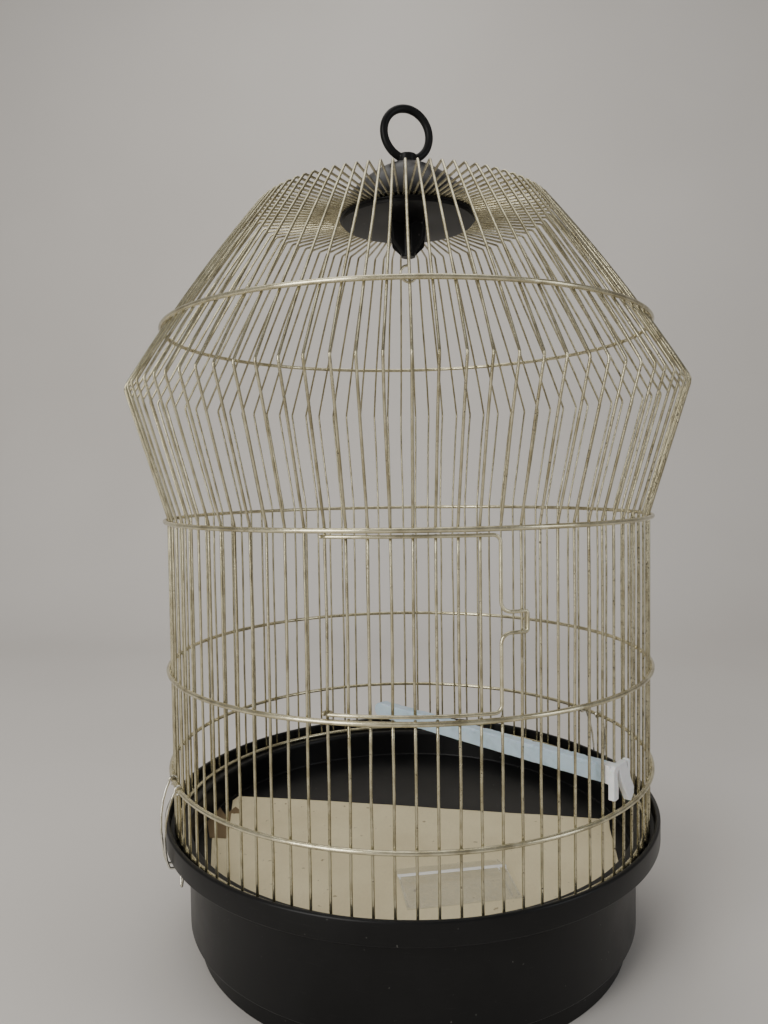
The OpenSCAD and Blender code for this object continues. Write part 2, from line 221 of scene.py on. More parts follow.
def lathe_mesh(profile, segments=256):
    """Closed body of revolution about Z from a closed outline of (radius, height) points."""
    verts, faces = [], []
    rows = []
    for r, z in profile:
        if r < 1e-6:
            rows.append([len(verts)] * segments)
            verts.append(Vector((0, 0, z)))
            continue
        rows.append(list(range(len(verts), len(verts) + segments)))
        for k in range(segments):
            a = 2 * math.pi * k / segments
            verts.append(Vector((r * math.cos(a), r * math.sin(a), z)))
    pairs = list(zip(rows, rows[1:] + rows[:1]))
    for low, high in pairs:
        if low[0] == low[1] and high[0] == high[1]:
            continue
        for k in range(segments):
            k2 = (k + 1) % segments
            face = []
            for v in (low[k], low[k2], high[k2], high[k]):
                if v not in face:
                    face.append(v)
            if len(face) > 2:
                faces.append(tuple(face))
    return verts, faces


def softened(points, radius, steps=4):
    """A closed (radius, height) outline with each corner rounded, except on the axis."""
    out = []
    n = len(points)
    for i, p in enumerate(points):
        if p[0] < 1e-6:
            out.append(p)
            continue
        before = Vector(points[i - 1]).to_3d()
        after = Vector(points[(i + 1) % n]).to_3d()
        here = Vector(p).to_3d()
        a, b = (before - here), (after - here)
        if a.angle(b) > math.radians(172):
            out.append(p)
            continue
        reach = min(radius, 0.45 * a.length, 0.45 * b.length)
        start, end = here + a.normalized() * reach, here + b.normalized() * reach
        for k in range(steps + 1):
            t = k / steps
            q = (1 - t) ** 2 * start + 2 * t * (1 - t) * here + t * t * end
            out.append((q.x, q.y))
    return out


def ball_mesh(centre, radii, turn=None, rings=6, sides=10):
    """A stretched ball, for a weld bead or a speck."""
    verts, faces = [], []
    turn = turn or Matrix.Identity(3)
    for i in range(rings + 1):
        polar = math.pi * i / rings
        count = 1 if i in (0, rings) else sides
        for k in range(count):
            a = 2 * math.pi * k / sides
            local = Vector((radii[0] * math.sin(polar) * math.cos(a),
                            radii[1] * math.sin(polar) * math.sin(a), radii[2] * math.cos(polar)))
            verts.append(centre + turn @ local)
    for k in range(sides):
        k2 = (k + 1) % sides
        faces.append((0, 1 + k, 1 + k2))
        last = 1 + (rings - 2) * sides
        faces.append((len(verts) - 1, last + k2, last + k))
        for i in range(rings - 2):
            row = 1 + i * sides
            faces.append((row + k, row + sides + k, row + sides + k2, row + k2))
    return verts, faces


def add_to_bmesh(bm, verts, faces):
    """Vertex and face lists added to a bmesh."""
    made = [bm.verts.new(v) for v in verts]
    for face in faces:
        bm.faces.new([made[i] for i in face])
    bmesh.ops.recalc_face_normals(bm, faces=bm.faces)


def from_bmesh(name, bm, smooth_angle=35):
    mesh = bpy.data.meshes.new(name)
    bm.to_mesh(mesh)
    bm.free()
    obj = bpy.data.objects.new(name, mesh)
    bpy.context.scene.collection.objects.link(obj)
    mesh.polygons.foreach_set("use_smooth", [True] * len(mesh.polygons))
    mesh.set_sharp_from_angle(angle=math.radians(smooth_angle))
    return obj


# ---------------------------------------------------------------- materials


class Shade:
    """A node material in the making."""

    def __init__(self, name):
        self.material = bpy.data.materials.new(name)
        self.material.use_nodes = True
        self.tree = self.material.node_tree
        self.shader = self.tree.nodes["Principled BSDF"]
        self.coords = self.tree.nodes.new("ShaderNodeTexCoord").outputs["Object"]

    def node(self, kind, **settings):
        n = self.tree.nodes.new(kind)
        for key, value in settings.items():
            setattr(n, key, value)
        return n

    def link(self, a, b):
        self.tree.links.new(a, b)

    def stretched(self, scale):
        """Object coordinates scaled along each axis."""
        n = self.node("ShaderNodeMapping")
        n.inputs["Scale"].default_value = scale
        self.link(self.coords, n.inputs["Vector"])
        return n.outputs["Vector"]

    def noise(self, scale, detail=4, rough=0.6, coords=None, distortion=0):
        n = self.node("ShaderNodeTexNoise")
        n.inputs["Scale"].default_value = scale
        n.inputs["Detail"].default_value = detail
        n.inputs["Roughness"].default_value = rough
        n.inputs["Distortion"].default_value = distortion
        self.link(coords or self.coords, n.inputs["Vector"])
        return n.outputs["Fac"]

    def ramp(self, fac, stops):
        """Colour ramp; stops are (position, grey or colour)."""
        n = self.node("ShaderNodeValToRGB")
        while len(n.color_ramp.elements) < len(stops):
            n.color_ramp.elements.new(0.5)
        for e, (at, c) in zip(n.color_ramp.elements, stops):
            e.position = at
            e.color = (c, c, c, 1) if isinstance(c, (int, float)) else (*c, 1)
        self.link(fac, n.inputs["Fac"])
        return n.outputs["Color"]

    def math(self, kind, a, b):
        n = self.node("ShaderNodeMath", operation=kind)
        for socket, value in zip(n.inputs, (a, b)):
            if isinstance(value, (int, float)):
                socket.default_value = value
            else:
                self.link(value, socket)
        return n.outputs["Value"]

    def mix(self, fac, a, b, mode="MIX"):
        n = self.node("ShaderNodeMix", data_type="RGBA", blend_type=mode)
        for socket, value in ((n.inputs["Factor"], fac), (n.inputs[6], a), (n.inputs[7], b)):
            if isinstance(value, (int, float)):
                socket.default_value = value
            elif isinstance(value, tuple):
                socket.default_value = (*value, 1)
            else:
                self.link(value, socket)
        return n.outputs[2]

    def axis(self, name):
        n = self.node("ShaderNodeSeparateXYZ")
        self.link(self.coords, n.inputs[0])
        return n.outputs[name]

    def bump(self, height, strength, distance):
        n = self.node("ShaderNodeBump")
        n.inputs["Strength"].default_value = strength
        n.inputs["Distance"].default_value = distance
        self.link(height, n.inputs["Height"])
        self.link(n.outputs["Normal"], self.shader.inputs["Normal"])

    def set(self, **values):
        """Shader inputs: numbers and colours go on the socket, outputs are linked."""
        for key, value in values.items():
            socket = self.shader.inputs[key.replace("_", " ")]
            if isinstance(value, (int, float)):
                socket.default_value = value
            elif isinstance(value, tuple):
                socket.default_value = (*value, 1)
            else:
                self.link(value, socket)


def brass_material(name, bright, warm, speck_from, mottle=0.5):
    """Aged brass plate: smooth olive gold, mottled in places, with dark corroded specks."""
    s = Shade(name)
    patches = s.noise(55, 3, 0.55)
    tone = s.ramp(patches, [(0.34, warm), (0.5, bright), (0.68, tuple(0.82 * c for c in warm))])
    worn = s.ramp(s.noise(24, 2, 0.5), [(0.48, 0.15), (0.64, 1.0)])
    streaks = s.noise(420, 4, 0.7, s.stretched((1, 1, 0.35)))
    spoilt = s.math("MULTIPLY", s.ramp(streaks, [(0.42, 0.0), (0.72, mottle)]), worn)
    tone = s.mix(spoilt, tone, (0.17, 0.135, 0.07))
    lean = s.math("MULTIPLY", s.axis("X"), 0.28)
    specks = s.math("ADD", s.noise(760, 3, 0.65), lean)
    pitted = s.ramp(specks, [(speck_from, 0.0), (speck_from + 0.07, 1.0)])
    tone = s.mix(pitted, tone, (0.045, 0.034, 0.022))
    s.set(Base_Color=tone, Metallic=s.ramp(pitted, [(0.0, 0.82), (1.0, 0.3)]),
          Roughness=s.ramp(s.math("ADD", spoilt, s.math("MULTIPLY", pitted, 0.6)),
                           [(0.0, 0.2), (0.9, 0.55)]))
    s.bump(s.math("SUBTRACT", spoilt, pitted), 0.25, 0.1 * MM)
    return s.material


def black_plastic_material(name, dust=0.785, tone=0.004, rough=(0.3, 0.48), gloss=0.2):
    """Satin black moulding with faint turning scratches, scuffs and grains of dust."""
    s = Shade(name)
    cloud = s.noise(14, 4, 0.6)
    fine = s.noise(900, 2, 0.5)
    scratch = s.noise(60, 5, 0.75, s.stretched((1, 1, 14)), 0.4)
    scuffed = s.ramp(scratch, [(0.62, 0.0), (0.74, 1.0)])
    grain = s.ramp(s.noise(420, 1, 0.4), [(dust, 0.0), (dust + 0.03, 1.0)])
    pale = tone * 1.9
    base = s.ramp(cloud, [(0.3, (tone, tone, tone * 1.05)), (0.75, (pale, pale, pale))])
    base = s.mix(s.math("MULTIPLY", scuffed, 0.1), base, (0.12, 0.12, 0.115))
    base = s.mix(s.math("MULTIPLY", grain, 0.3), base, (0.26, 0.25, 0.23))
    s.set(Base_Color=base, Specular_IOR_Level=gloss,
          Roughness=s.ramp(s.math("ADD", cloud, s.math("MULTIPLY", scuffed, 0.3)),
                           [(0.3, rough[0]), (0.9, rough[1])]))
    s.bump(s.math("ADD", fine, s.math("MULTIPLY", scuffed, 0.6)), 0.16, 0.06 * MM)
    return s.material


def white_plastic_material(name, shadow, middle, light):
    """Pale satin plastic with a little grime."""
    s = Shade(name)
    grime = s.noise(70, 5, 0.7)
    base = s.ramp(grime, [(0.3, shadow), (0.52, middle), (0.8, light)])
    s.set(Base_Color=base, Roughness=s.ramp(grime, [(0.3, 0.5), (0.7, 0.3)]),
          Subsurface_Weight=0.12, Subsurface_Scale=2 * MM)
    s.bump(s.noise(700, 2, 0.5), 0.12, 0.08 * MM)
    return s.material


def card_material(name, light, dark, stain):
    """Card with paper fibres, soft stains, a few droppings and crumbs, and painted highlight on cut
    edges.
    """
    s = Shade(name)
    fibre = s.noise(900, 3, 0.7, s.stretched((1, 0.25, 1)))
    cloud = s.noise(9, 5, 0.62)
    base = s.ramp(cloud, [(0.3, dark), (0.6, light)])
    base = s.mix(s.ramp(fibre, [(0.35, 0.0), (0.75, 0.25)]), base, tuple(0.7 * c for c in light))
    spots = s.ramp(s.noise(150, 2, 0.5), [(0.7, 0.0), (0.73, 1.0)])
    base = s.mix(s.math("MULTIPLY", spots, 0.55), base, stain)
    # painted highlight: faces that do not point up, the cut edges, are given a lighter colour
    upright = s.node("ShaderNodeSeparateXYZ")
    s.link(s.node("ShaderNodeTexCoord").outputs["Normal"], upright.inputs[0])
    edge = s.ramp(upright.outputs["Z"], [(0.35, 0.6), (0.7, 0.0)])
    base = s.mix(edge, base, tuple(min(1, 1.35 * c) for c in light))
    s.set(Base_Color=base, Roughness=0.86, Specular_IOR_Level=0.25)
    s.bump(s.math("ADD", fibre, s.math("MULTIPLY", cloud, 3)), 0.3, 0.1 * MM)
    return s.material


def clear_plastic_material():
    """Thin clear plastic: mostly see-through, greyed by fine scratches, painted highlight along its
    ridge.
    """
    s = Shade("clear_plastic")
    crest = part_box("clear_guard")[1].z
    haze = s.noise(160, 5, 0.75, s.stretched((1, 4, 1)))
    # painted highlight: the top 0.8 mm of the ridge is coloured near white and made near opaque
    highlight_band = 0.8 * MM
    height = s.math("SUBTRACT", s.axis("Z"), crest - highlight_band)
    ridge = s.ramp(s.math("MULTIPLY", height, 1 / highlight_band), [(0.1, 0.0), (0.35, 1.0)])
    cover = s.ramp(haze, [(0.35, 0.08), (0.75, 0.26)])
    body = s.ramp(haze, [(0.4, (0.5, 0.5, 0.47)), (0.75, (0.66, 0.66, 0.63))])
    s.set(Base_Color=s.mix(ridge, body, (0.97, 0.97, 0.95)),
          Roughness=s.ramp(haze, [(0.45, 0.08), (0.75, 0.3)]), Specular_IOR_Level=0.9,
          Alpha=s.mix(ridge, cover, (0.8, 0.8, 0.8)))
    s.bump(haze, 0.08, 0.05 * MM)
    return s.material


def steel_material():
    """Plain zinc-plated washer."""
    s = Shade("washer_steel")
    grain = s.noise(600, 4, 0.6)
    s.set(Base_Color=s.ramp(grain, [(0.3, (0.4, 0.4, 0.41)), (0.7, (0.62, 0.62, 0.62))]),
          Metallic=1.0, Roughness=s.ramp(grain, [(0.3, 0.3), (0.7, 0.5)]))
    return s.material


WIRE_BRASS = brass_material("wire_brass", (0.53, 0.49, 0.34), (0.35, 0.31, 0.19), 0.62)
HOOP_BRASS = brass_material("hoop_brass", (0.68, 0.63, 0.44), (0.46, 0.41, 0.26), 0.66)
CLIP_BRASS = brass_material("clip_brass", (0.78, 0.76, 0.68), (0.6, 0.57, 0.46), 0.7, 0.25)
BLACK = black_plastic_material("black_plastic")
CROWN_BLACK = black_plastic_material("crown_plastic", 0.77, 0.007, (0.26, 0.4), 0.09)
WHITE = white_plastic_material("white_plastic", (0.68, 0.7, 0.7), (0.8, 0.81, 0.81),
                               (0.86, 0.87, 0.87))
PALE_BLUE = white_plastic_material("pale_blue_plastic", (0.4, 0.52, 0.6), (0.52, 0.66, 0.76),
                                   (0.62, 0.74, 0.82))
CARD = card_material("liner_card", (0.8, 0.705, 0.46), (0.68, 0.59, 0.37), (0.16, 0.1, 0.05))
BROWN = card_material("brown_card", (0.24, 0.17, 0.09), (0.16, 0.11, 0.06), (0.05, 0.03, 0.02))
CLEAR = clear_plastic_material()
STEEL = steel_material()


def finish_piece(obj, node, material, body):
    """A detailed piece that stands for a CAD node."""
    obj.data.materials.clear()
    obj.data.materials.append(material)
    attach(obj, body)
    if node:
        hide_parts(node)
    return obj


# ---------------------------------------------------------------- cage wires


def slope_points():
    """The bowed slope from the belly to the shoulder, as (radius, height) points."""
    belly = Vector((BELLY_RING, BELLY_Z))
    shoulder = Vector((SHOULDER_RING, CROWN_Z))
    chord = shoulder - belly
    outward = Vector((chord.y, -chord.x)).normalized()
    steps = 16
    return [belly.lerp(shoulder, k / steps) + outward * BOW_RISE * 4 * (k / steps) * (1 - k / steps)
            for k in range(steps + 1)]


SLOPE = slope_points()


def wire_outline(from_z):
    """Side view of a full wire, as (radius, height) points with its bends rounded."""
    corners = [Vector((WIRE_RING, 0, from_z)), Vector((WIRE_RING, 0, FLARE_Z))]
    corners += [Vector((p.x, 0, p.y)) for p in SLOPE]
    corners.append(Vector((WIRE_END_RING, 0, CROWN_Z)))
    small, wide = 4 * MM, 400 * MM
    radii = [12 * MM, small] + [wide] * (len(SLOPE) - 2) + [small]
    return rounded(corners, radii, 4)


WELD_HEIGHTS = [BASE_HOOP[1], LOWER_HOOP[1], SILL_HOOP[1], WAIST_HOOP[1], SHOULDER_HOOP[1],
                CROWN_Z]


def sway(z, amounts):
    """Sideways stray of a wire at a height: none at the welds, a little between them."""
    for (low, high), amount in zip(zip(WELD_HEIGHTS, WELD_HEIGHTS[1:]), amounts):
        if low < z < high:
            return amount * math.sin(math.pi * (z - low) / (high - low)) ** 2
    return 0


def wire_mesh(bearing, path):
    """One wire at its bearing, with its own slight stray."""
    amounts = [RNG.uniform(-0.5, 0.5) * MM * a for a in (0.4, 0.8, 1.3, 1.6, 1.0)]
    turn = Matrix.Rotation(math.radians(bearing - 90), 3, "Z")
    points = []
    for p in divided(path, 14 * MM):
        points.append(turn @ Vector((p.x, sway(p.z, amounts), p.z)))
    return tube_mesh(points, WIRE_RADIUS, 10)


def wire_bearings():
    return [wrapped((i + 0.5) * STEP) for i in range(WIRE_COUNT)]


def in_doorway(bearing):
    return DOORWAY[0] < bearing < DOORWAY[1]


def wire_bank(name, centre):
    path = wire_outline(FOOT_Z)
    chosen = [b for b in wire_bearings() if abs(wrapped(b - centre)) < 45 and not in_doorway(b)]
    obj = new_object("cage_" + name, *joined([wire_mesh(b, path) for b in chosen]))
    return finish_piece(obj, name, WIRE_BRASS, "cage")


def doorway_wires():
    over = wire_outline(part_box("wires_over_door")[0].z)
    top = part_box("wires_under_door")[1].z
    under = [Vector((WIRE_RING, 0, FOOT_Z)), Vector((WIRE_RING, 0, top))]
    chosen = [b for b in wire_bearings() if in_doorway(b)]
    for name, path in (("wires_over_door", over), ("wires_under_door", under)):
        obj = new_object("cage_" + name, *joined([wire_mesh(b, path) for b in chosen]))
        finish_piece(obj, name, WIRE_BRASS, "cage")


for bank, middle in (("wires_front", 0), ("wires_right", 90), ("wires_back", 180),
                     ("wires_left", -90)):
    wire_bank(bank, middle)
doorway_wires()

# ---------------------------------------------------------------- hoops


def hoop_piece(node, size, bearings, stray=0.25):
    """A hoop with slight waves and a weld bead at each wire."""
    radius, z, wire = size
    waves = [(n, RNG.uniform(0, 2 * math.pi), RNG.uniform(0.3, 1) * stray * MM / n)
             for n in (2, 3, 5)]

    def drift(bearing):
        return sum(h * math.sin(n * math.radians(bearing) + p) for n, p, h in waves)

    path = [around(b, radius, z + drift(b)) for b in range(360)]
    parts = [tube_mesh(path, wire, 16, closed=True)]
    inside = radius > WIRE_RING
    for b in bearings:
        contact = radius - wire * 0.95 if inside else radius + wire * 0.95
        turn = Matrix.Rotation(math.radians(b), 3, "Z")
        size_x = RNG.uniform(0.9, 1.35) * MM
        centre = around(b, contact, z + drift(b))
        parts.append(ball_mesh(centre, (size_x, 0.7 * MM, RNG.uniform(1.1, 1.7) * MM), turn))
    obj = new_object("cage_" + node, *joined(parts))
    return finish_piece(obj, node, HOOP_BRASS, "cage")


ALL = wire_bearings()
hoop_piece("hoop_base", BASE_HOOP, ALL, stray=0)
hoop_piece("hoop_lower", LOWER_HOOP, ALL)
hoop_piece("hoop_sill", SILL_HOOP, ALL)
hoop_piece("hoop_waist", WAIST_HOOP, ALL)
hoop_piece("hoop_shoulder", SHOULDER_HOOP, ALL)
hoop_piece("crown_ring", CROWN_RING, [], stray=0)

# ---------------------------------------------------------------- door

FRAME_WIRE = 1.1 * MM
HINGE_LOOP = WIRE_RADIUS + FRAME_WIRE + 0.4 * MM
FRAME_RING = WIRE_RING + HINGE_LOOP
DOOR_LOW, DOOR_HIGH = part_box("door_frame")
DOOR_TOP_Z = DOOR_HIGH.z - FRAME_WIRE
DOOR_BOTTOM_Z = DOOR_LOW.z + FRAME_WIRE
CATCH_TOP_Z = 270.4 * MM
CATCH_BOTTOM_Z = 258.4 * MM
CATCH_BEARING = 22.8


def on_door(points):
    """Unrolled (degrees, height) corners carried onto the door's curve, finely divided."""
    flat = []
    for (a, z), (b, y) in zip(points, points[1:]):
        steps = max(1, math.ceil(abs(b - a) / 1.0))
        flat += [(a + (b - a) * k / steps, z + (y - z) * k / steps) for k in range(steps)]
    flat.append(points[-1])
    return [around(b, FRAME_RING, z) for b, z in flat]


def door_pieces():
    per_degree = FRAME_RING * math.pi / 180
    side = [(STILE_BEARING - 3, DOOR_TOP_Z), (STILE_BEARING, DOOR_TOP_Z),
            (STILE_BEARING, CATCH_TOP_Z), (CATCH_BEARING, CATCH_TOP_Z),
            (CATCH_BEARING, CATCH_BOTTOM_Z), (STILE_BEARING, CATCH_BOTTOM_Z),
            (STILE_BEARING, DOOR_BOTTOM_Z), (STILE_BEARING - 3, DOOR_BOTTOM_Z)]
    flat = [Vector((b * per_degree, z, 0)) for b, z in side]
    turned = rounded(flat, [4.5 * MM, 6 * MM, 1.8 * MM, 1.8 * MM, 6 * MM, 4.5 * MM], 6)
    unrolled = [(p.x / per_degree, p.y) for p in turned]
    centre = around(HINGE_BEARING, WIRE_RING, 0)
    loop = []
    for k in range(25):
        a = math.radians(HINGE_BEARING - 90 + 330 * (1 - k / 24))
        loop.append(centre + HINGE_LOOP * Vector((math.cos(a), math.sin(a), 0)))
    top = [p + Vector((0, 0, DOOR_TOP_Z)) for p in loop]
    bottom = [p + Vector((0, 0, DOOR_BOTTOM_Z)) for p in reversed(loop)]
    bar = on_door([(HINGE_BEARING + 0.7, DOOR_TOP_Z), (STILE_BEARING - 3, DOOR_TOP_Z)])
    back = on_door([(STILE_BEARING - 3, DOOR_BOTTOM_Z), (HINGE_BEARING + 0.7, DOOR_BOTTOM_Z)])
    path = divided(top + bar + on_door(unrolled)[1:-1] + back + bottom, 6 * MM)
    clean = [path[0]]
    for p in path[1:]:
        if (p - clean[-1]).length > 0.2 * MM:
            clean.append(p)
    obj = new_object("door_frame_wire", *tube_mesh(clean, FRAME_WIRE, 14))
    finish_piece(obj, "door_frame", HOOP_BRASS, "door")

    low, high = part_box("door_wires")
    ring = FRAME_RING - FRAME_WIRE - WIRE_RADIUS + WELD
    parts = []
    for i in range(1, 8):
        b = HINGE_BEARING + i * STEP
        stray = RNG.uniform(-0.5, 0.5) * MM
        turn = Matrix.Rotation(math.radians(b), 3, "Z")
        path = [around(b, ring, low.z + (high.z - low.z) * k / 10)
                + turn @ Vector((stray * math.sin(math.pi * k / 10), 0, 0)) for k in range(11)]
        parts.append(tube_mesh(path, WIRE_RADIUS, 10))
        for z in (DOOR_TOP_Z, DOOR_BOTTOM_Z):
            parts.append(ball_mesh(around(b, ring + WIRE_RADIUS, z), (1.2 * MM, 0.7 * MM, 1.3 * MM),
                                   turn))
    obj = new_object("door_upright_wires", *joined(parts))
    finish_piece(obj, "door_wires", WIRE_BRASS, "door")


door_pieces()

# ---------------------------------------------------------------- base clips

CLIP_WIRE = 0.9 * MM
CLIP_HALF = 10.5 * MM
CLIP_LOOP = 2.8 * MM
SKIRT_Z = 83.6 * MM


def clip_piece(node, bearing, body):
    """Wire bail: two loops round the lower hoop, bowed legs, a jog and a V tip."""
    pivot_ring = math.sqrt(LOWER_HOOP[0] ** 2 - CLIP_HALF ** 2)
    place = Matrix.Translation(around(bearing, pivot_ring, LOWER_HOOP[1])) \
        @ Matrix.Rotation(math.radians(bearing - 90), 4, "Z")
    jog = SKIRT_Z - 4.8 * MM - LOWER_HOOP[1]
    leg = [(2.8, 10.5, -0.5), (5.0, 10.3, -5), (7.6, 9.7, -13), (9.3, 8.6, -23), (9.8, 7.2, -33),
           (9.4, 5.8, -42), (8.3, 4.6, -50), (6.4, 4.1, jog / MM), (-1.8, 4.2, jog / MM),
           (-2.6, 3.8, jog / MM - 7), (-1.8, 0, jog / MM - 20)]
    leg = [Vector(p) * MM for p in leg]
    other = [Vector((p.x, -p.y, p.z)) for p in reversed(leg[:-1])]
    loop = [Vector((CLIP_LOOP * math.cos(a), CLIP_HALF, CLIP_LOOP * math.sin(a)))
            for a in (math.radians(300 * (1 - k / 20)) for k in range(21))]
    far_loop = [Vector((p.x, -p.y, p.z)) for p in reversed(loop)]
    radii = [7, 12, 14, 14, 14, 10, 2.2, 1.6, 3, 1.4, 3, 1.6, 2.2, 10, 14, 14, 14, 12, 7]
    bent = rounded(leg + other, [r * MM for r in radii], 5)
    path = divided(loop[:-1] + bent + far_loop[1:], 5 * MM)
    obj = new_object("clip_wire_" + body, *tube_mesh([place @ p for p in path], CLIP_WIRE, 12))
    finish_piece(obj, node, CLIP_BRASS, body)


clip_piece("base_clip_left", -62, "clip_left")
clip_piece("base_clip_right", 118, "clip_right")

# ---------------------------------------------------------------- base


def base_piece():
    """Deep moulded base: foot ring, wall, skirt, channel and tray well."""
    low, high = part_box("tray_pan")
    crest, skirt = high.z, high.x
    wall, foot, foot_h, t = 172.3 * MM, 165.5 * MM, 17 * MM, 2.5 * MM
    easing = 1.6 * MM
    channel, floor, well = FOOT_Z - 0.3 * MM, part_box("liner_lower")[0].z, 170 * MM
    lip_in = 186 * MM
    outline = [(foot - t, low.z), (foot, low.z), (foot, foot_h), (wall, foot_h),
               (wall, channel - t), (skirt - t, channel - t), (skirt - t, SKIRT_Z),
               (skirt, SKIRT_Z), (skirt, crest),
               (lip_in, crest), (lip_in, channel), (well + 1 * MM, channel), (well, channel - t),
               (well, floor), (0, floor), (0, floor - t), (wall - t, floor - t),
               (wall - t, foot_h + t), (foot - t, foot_h + t)]
    verts, faces = lathe_mesh(softened(outline, easing, 5), 288)
    bm = bmesh.new()
    add_to_bmesh(bm, verts, faces)
    obj = from_bmesh("base_moulding", bm, 50)
    finish_piece(obj, "tray_pan", BLACK, "base")


base_piece()

# ---------------------------------------------------------------- liners and scrap


def top_outline(node):
    """Outline of a flat node's upper face, in order, as (x, y) in metres."""
    obj = frame["nodes"][node]
    points = [obj.matrix_world @ v.co for v in obj.data.vertices]
    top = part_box(node)[1].z
    edges = set()
    for face in obj.data.polygons:
        corners = [points[i] for i in face.vertices]
        if max(abs(c.z - top) for c in corners) > 0.02 * MM:
            continue
        keys = [(round(c.x / MM, 2), round(c.y / MM, 2)) for c in corners]
        for a, b in zip(keys, keys[1:] + keys[:1]):
            if (b, a) in edges:
                edges.remove((b, a))
            else:
                edges.add((a, b))
    after = dict(edges)
    loop = [min(after)]
    while after[loop[-1]] != loop[0]:
        loop.append(after[loop[-1]])
    return [(x * MM, y * MM) for x, y in loop]


def sheet_piece(node, material, rise=None, pitch=5 * MM):
    """A sheet cut to its node's outline, divided finely and bent by rise(x, y) if it is given."""
    low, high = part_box(node)
    bm = bmesh.new()
    bm.faces.new([bm.verts.new((x, y, low.z)) for x, y in top_outline(node)])
    for axis in (0, 1):
        normal = Vector((0, 0, 0))
        normal[axis] = 1
        for k in range(1, math.ceil((high[axis] - low[axis]) / pitch)):
            bmesh.ops.bisect_plane(bm, geom=bm.verts[:] + bm.edges[:] + bm.faces[:],
                                   plane_co=normal * (low[axis] + k * pitch), plane_no=normal)
    under = bm.verts[:]
    grown = bmesh.ops.extrude_face_region(bm, geom=bm.faces[:])["geom"]
    top = [g for g in grown if isinstance(g, bmesh.types.BMVert)]
    bmesh.ops.translate(bm, verts=top, vec=(0, 0, high.z - low.z))
    bmesh.ops.recalc_face_normals(bm, faces=bm.faces)
    for v in bm.verts:
        if rise:
            v.co.z += rise(v.co.x / MM, v.co.y / MM) * MM
    rim = [e for e in bm.edges if e.calc_face_angle(0) > math.radians(60)]
    bmesh.ops.bevel(bm, geom=rim, offset=0.1 * MM, segments=2, profile=0.5, affect="EDGES",
                    clamp_overlap=True)
    finish_piece(from_bmesh("tray_" + node, bm), node, material, "base")


def swell_at(x, y, scale, seed):
    """Smooth irregular height between 0 and 1."""
    return 0.5 + 0.5 * noise.noise(Vector((x / scale, y / scale, seed)))


def upper_rise(x, y):
    """Low swells, an edge that lifts at the back, and one crease; flat under the guard."""
    free = min(1, max(0, (math.hypot(x - 32, y + 88) - 62) / 40))
    back = 45 - 0.19 * (x + 40)
    edge = min(1, max(0, 1 - (back - y) / 38)) ** 2
    crease = math.exp(-((y + 0.35 * x - 14) / 2.2) ** 2) * min(1, max(0, (x + 60) / 60))
    return free * (0.5 * swell_at(x, y, 60, 3.1) + 1.3 * edge * swell_at(x, y, 45, 7.7)
                   + 0.45 * crease)


def scrap_rise(x, y):
    """The torn spikes of the scrap curl up a little."""
    return 2.2 * min(1, max(0, (y - 12) / 22)) ** 2


sheet_piece("liner_lower", CARD)
sheet_piece("liner_upper", CARD, upper_rise)
sheet_piece("card_scrap", BROWN, scrap_rise, 3 * MM)

# ---------------------------------------------------------------- clear guard


def guard_piece():
    """Clear folded strip: two thin panels, a thick ridge along the fold, ribs at the ends."""
    low_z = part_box("clear_guard")[0].z
    corner = (-8 * MM, -88 * MM, low_z)
    place = Matrix.Translation(corner) @ Matrix.Rotation(math.radians(12), 4, "Z")
    span, ridge, back, front, t = 78, 6.0, 19, 34, 0.8

    def at(x, u, h):
        return place @ Vector((x * MM, -u * MM, h * MM))

    section = [(-back, 0), (-0.9, ridge - t - 0.7), (0.9, ridge - t - 0.7), (front, 0), (front, t),
               (1.9, ridge - 0.75), (1.3, ridge - 0.1), (0, ridge), (-1.3, ridge - 0.1),
               (-1.9, ridge - 0.75), (-back, t)]
    bm = bmesh.new()
    stations = 27
    rows = []
    for k in range(stations):
        x = span * k / (stations - 1)
        sag = 0.25 * math.sin(math.pi * k / (stations - 1))
        rows.append([bm.verts.new(at(x, u, h - (sag if 1 < h < ridge - 1 else 0)))
                     for u, h in section])
    n = len(section)
    for near, far in zip(rows, rows[1:]):
        for i in range(n):
            bm.faces.new((near[i], near[(i + 1) % n], far[(i + 1) % n], far[i]))
    bm.faces.new(list(reversed(rows[0])))
    bm.faces.new(rows[-1])
    bmesh.ops.recalc_face_normals(bm, faces=bm.faces)
    sharp = [e for e in bm.edges if e.calc_face_angle(0) > math.radians(55)]
    bmesh.ops.bevel(bm, geom=sharp, offset=0.2 * MM, segments=2, profile=0.5, affect="EDGES",
                    clamp_overlap=True)
    ribs = []
    for x, first, last in ((1.2, -back + 2, front - 3), (span - 1.2, -back + 2, front - 3),
                           (span - 6, 2, front - 3)):
        path = []
        for k in range(13):
            u = first + (last - first) * k / 12
            reach = back if u < 0 else front
            path.append(at(x, u, t + (ridge - t - 0.1) * (1 - abs(u) / reach) - 0.25))
        ribs.append(tube_mesh(path, 0.5 * MM, 10))
    add_to_bmesh(bm, *joined(ribs))
    finish_piece(from_bmesh("guard_strip", bm), "clear_guard", CLEAR, "base")


guard_piece()

# ---------------------------------------------------------------- crown

CAP_LOW, CAP_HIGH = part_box("dome_cap")
CROWN_X = (CAP_LOW.x + CAP_HIGH.x) / 2
SEAT = 9 * MM
CAP_POWER = 1.5
STEM_HOLE = 3.06 * MM


def cap_curve(radius, height):
    """Curve of the dome cap from its rim to its flat seat; height is that of the seat."""
    def rise(r):
        return (1 - (r / radius) ** CAP_POWER) ** (1 / CAP_POWER)

    steps = 40
    turns = [math.radians(90 * k / steps) for k in range(steps + 1)]
    radii = [radius * math.cos(a) for a in turns if radius * math.cos(a) > SEAT] + [SEAT]
    return [(r, height * rise(r) / rise(SEAT)) for r in radii]


